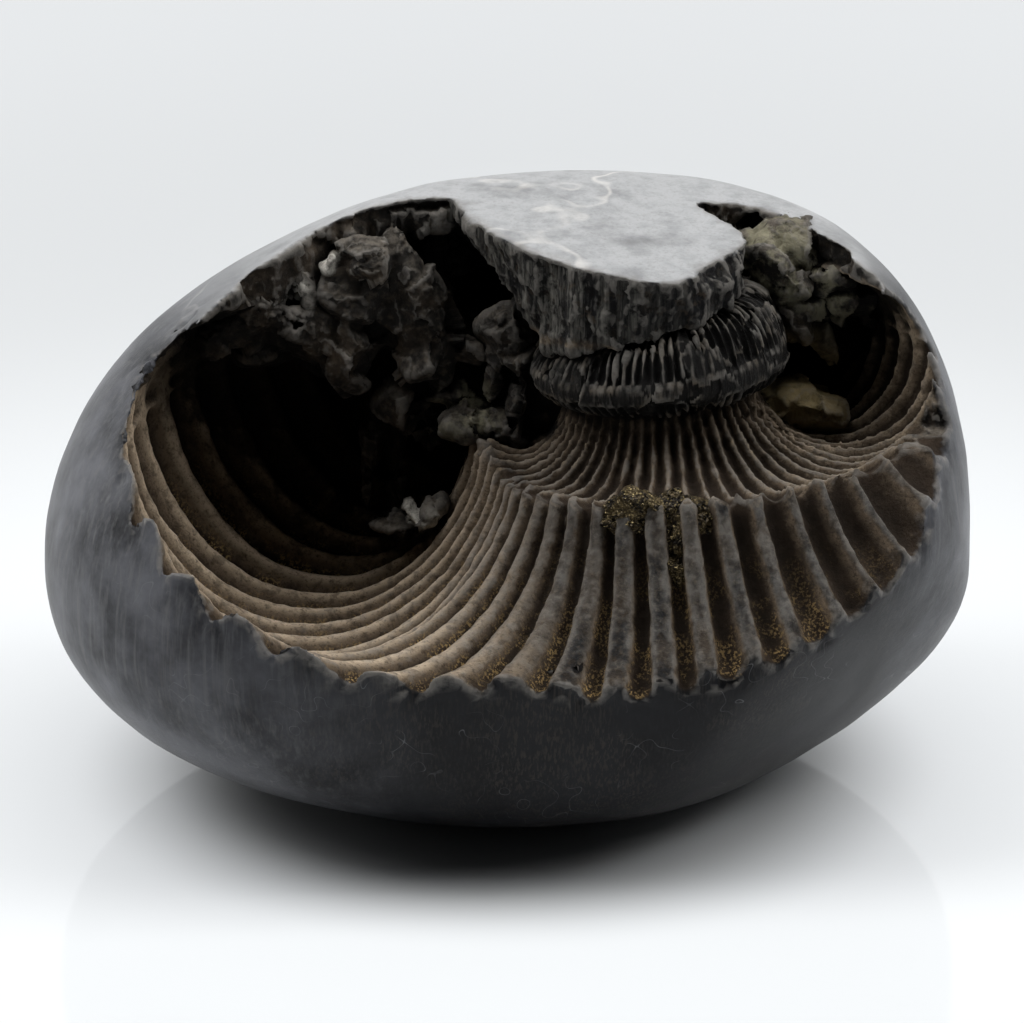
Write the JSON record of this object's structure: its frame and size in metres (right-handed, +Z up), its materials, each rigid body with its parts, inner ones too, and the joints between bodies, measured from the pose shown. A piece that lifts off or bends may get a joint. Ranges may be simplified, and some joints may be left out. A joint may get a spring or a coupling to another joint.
{
  "type": "shaligram stone",
  "caption": "Dark rounded river pebble, worn open on its front and top over the ribbed, coiled mould of an ammonite, resting on a small flat spot.",
  "frame": {"origin": "middle of the bounding box in plan, on the surface that the pebble rests on", "axes": "+X to the viewer's right along the pebble's length, +Y away from the worn mouth towards the back, +Z up"},
  "size_m": [0.11, 0.0858, 0.0695],
  "materials": {
    "stone": "water-worn dark blue-grey limestone, dull on broken faces and faintly satin where it is rubbed",
    "pyrite": "tarnished fine-grained pyrite crystals"
  },
  "bodies": {
    "root": {"stone": "stone", "pyrite_crust": "pyrite"}
  },
  "joints": []
}
